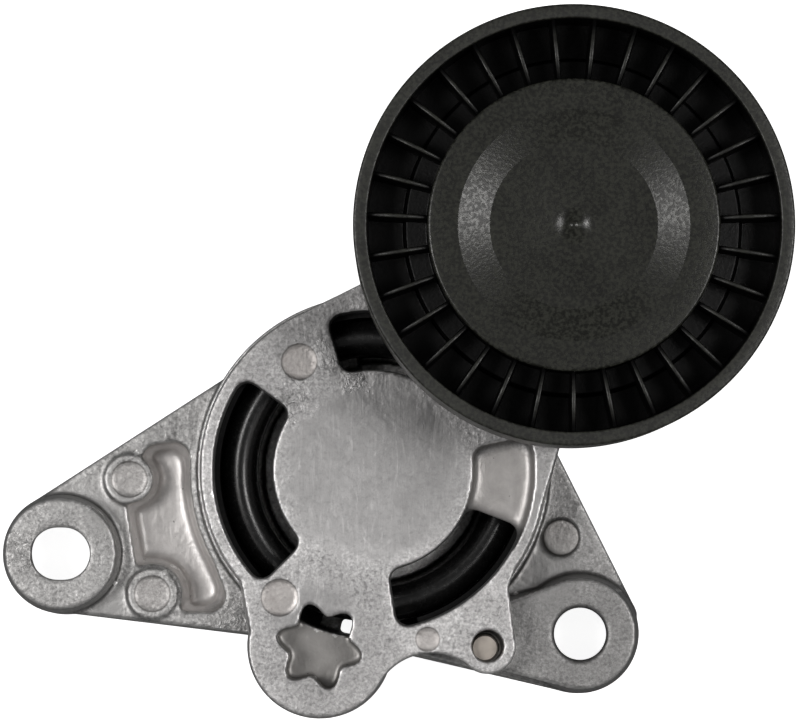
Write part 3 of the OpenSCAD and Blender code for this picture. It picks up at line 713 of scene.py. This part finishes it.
def arm_fillets(point):
    """1 in the blind end of the right window."""
    z = point.z / MM
    angle = math.degrees(math.atan2(point.y, point.x))
    radius = math.hypot(point.x, point.y) / MM
    return 1 if 24.5 < z < ARM_TOP - 0.7 and -24 < angle < 14 and 15.5 < radius < 27.2 else 0


def make_castings(materials):
    base = rounded(drafted("base_bracket", base_draft), 0.32 * MM, 6, "base_casting", base_fillets, 55)
    new_piece("base_casting", base, "base", materials["cast_base"], "base_bracket")
    arm = rounded(drafted("tensioner_arm", arm_draft), 0.3 * MM, 5, "arm_casting", arm_fillets, 70)
    new_piece("arm_casting", arm, "arm", materials["cast_arm"], "tensioner_arm")


def make_spring(materials):
    """The round wire swept along its coil, which winds up as the arm turns."""
    low, high = node_box("torsion_spring")
    wire_r = WIRE_R * MM
    steps, sides = 300, 28
    rings = []
    edit = bmesh.new()
    for i in range(steps + 1):
        t = i / steps
        a = math.radians(TOP_END + 360 * TURNS * (1 - t))
        z = low.z + wire_r + (high.z - low.z - 2 * wire_r) * t
        ring = []
        for j in range(sides):
            b = 2 * math.pi * j / sides
            r = COIL_R * MM + wire_r * math.cos(b)
            ring.append(edit.verts.new((r * math.cos(a), r * math.sin(a), z + wire_r * math.sin(b))))
        rings.append(ring)
    for one, two in zip(rings, rings[1:]):
        for j in range(sides):
            edit.faces.new((one[j], one[(j + 1) % sides], two[(j + 1) % sides], two[j]))
    edit.faces.new(rings[0][::-1])
    edit.faces.new(rings[-1])
    bmesh.ops.recalc_face_normals(edit, faces=edit.faces)
    mesh = bpy.data.meshes.new("spring_wire")
    edit.to_mesh(mesh)
    edit.free()
    wire = new_piece("spring_wire", mesh, None, materials["black_spring"], "torsion_spring")
    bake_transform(wire)


def add_rib(edit, angle, z_root, z_top, sign):
    """One radial rib: thick at its root, thin and rounded along its crest, which dips at both ends."""
    along = [22.6, 24, 25.6, 27.2, 28.8, 30.4, 31.8, 33]
    across = [(-0.62, None), (-0.36, 0.34), (-0.24, 0.08), (0, 0), (0.24, 0.08), (0.36, 0.34), (0.62, None)]
    cos_a, sin_a = math.cos(angle), math.sin(angle)
    rows = []
    for r in along:
        crest = z_top - sign * (0.045 * (r - 27.8) ** 2) * MM
        row = []
        for side, drop in across:
            z = z_root if drop is None else crest - sign * drop * MM
            x = r * MM * cos_a - side * MM * sin_a + pulley_axis.x
            y = r * MM * sin_a + side * MM * cos_a + pulley_axis.y
            row.append(edit.verts.new((x, y, z)))
        rows.append(row)
    for one, two in zip(rows, rows[1:]):
        for k in range(len(across) - 1):
            edit.faces.new((one[k], one[k + 1], two[k + 1], two[k]))
        edit.faces.new((one[-1], one[0], two[0], two[-1]))
    edit.faces.new(rows[0])
    edit.faces.new(rows[-1][::-1])


def make_pulley(materials):
    """The moulded pulley: a turned rim, web and hub with a ring of tapered ribs on each side."""
    low, high = pulley_low.z, pulley_high.z
    middle = (low + high) / 2
    seat = node_box("bearing_outer_race")[0].z
    seat_top = node_box("bearing_outer_race")[1].z
    top = node_box("dust_cap")[1].z - 1.4 * MM
    rim_out = (pulley_high.x - pulley_low.x) / 2
    rim_in = rim_out - 2.2 * MM
    hub, ledge, race = 23.2 * MM, 26.7 * MM, 20 * MM
    clip, lip = 21.2 * MM, 19.2 * MM
    points = [
        (rim_in - 0.3 * MM, middle + 1.5 * MM), (rim_in, high), (rim_out, high),
        (rim_out, low), (rim_in, low), (rim_in - 0.3 * MM, middle - 1.5 * MM), (hub, middle - 1.5 * MM),
        (hub, seat - 1.6 * MM), (lip, seat - 1.6 * MM), (lip, seat), (race, seat), (race, seat_top),
        (lip, seat_top), (lip, seat_top + 1.4 * MM), (clip, seat_top + 1.4 * MM), (clip, top), (hub, top),
        (hub, middle + 4 * MM), (ledge, middle + 4 * MM), (ledge + 0.3 * MM, middle + 1.5 * MM),
        (rim_in - 0.3 * MM, middle + 1.5 * MM),
    ]
    radii = [0, 0.3, 0.45, 0.45, 0.3, 0.5, 0.5, 0.3, 0.3, 0, 0, 0, 0, 0.2, 0.1, 0, 0.1, 0.3, 0.4, 0.3, 0]
    profile = rounded_profile(points, [r * MM for r in radii], 4)
    mesh = lathe("pulley_moulding", profile, 320, pulley_axis)
    edit = bmesh.new()
    edit.from_mesh(mesh)
    for k in range(RIB_COUNT):
        angle = math.radians(FIRST_RIB + 360 * k / RIB_COUNT)
        add_rib(edit, angle, middle + 0.5 * MM, high - 0.9 * MM, 1)
        add_rib(edit, angle, middle - 0.5 * MM, low + 0.9 * MM, -1)
    bmesh.ops.remove_doubles(edit, verts=edit.verts, dist=1e-7)
    bmesh.ops.recalc_face_normals(edit, faces=edit.faces)
    edit.to_mesh(mesh)
    edit.free()
    new_piece("pulley_moulding", mesh, "pulley_body", materials["pulley_nylon"], "pulley")
    mesh.set_sharp_from_angle(angle=math.radians(40))


def make_cap(materials):
    low, high = node_box("dust_cap")
    radius = (high.x - low.x) / 2
    top = high.z
    ring_in = radius - 4.8 * MM
    centre = ring_in - 5.1 * MM
    dish = 1.2 * MM
    floor_z = top - 1.4 * MM
    clip = radius - 2 * MM
    crater = [
        (0.4, 0.94), (0.8, 0.75), (1.2, 0.52), (1.6, 0.325),
        (2.0, 0.187), (2.4, 0.095), (2.8, 0.035), (3.2, 0),
    ]
    points = [(0, top - dish - 0.95 * MM)] + [(r * MM, top - dish - depth * MM) for r, depth in crater] + [
        (centre, top - dish), (ring_in, top), (radius, top), (radius, floor_z), (clip, floor_z),
        (clip, low.z), (clip - 1.2 * MM, low.z), (clip - 1.2 * MM, floor_z),
        (ring_in, floor_z), (centre, floor_z - dish), (0, floor_z - dish),
    ]
    radii = [0] * (len(crater) + 1) + [0.5, 0.5, 0.5, 0.1, 0, 0.1, 0.1, 0, 0, 0, 0]
    profile = rounded_profile(points, [r * MM for r in radii])
    mesh = lathe("cap_moulding", profile, 256, pulley_axis)
    new_piece("cap_moulding", mesh, "pulley_body", materials["cap_plastic"], "dust_cap")


def make_carried_nodes(materials):
    """CAD nodes whose shape is right get a finish of their own."""
    slots = {row["node"]: row["material_slot"] for row in frame["record"]["subparts"]}
    for name, obj in nodes.items():
        material = materials[slots[name]]
        if obj.material_slots:
            for place in obj.material_slots:
                place.material = material
        else:
            obj.data.materials.append(material)


make_camera()
make_lights()
make_floor()
materials = make_materials()
make_carried_nodes(materials)
make_castings(materials)
make_spring(materials)
make_pulley(materials)
make_cap(materials)

scene.view_settings.view_transform = "Standard"
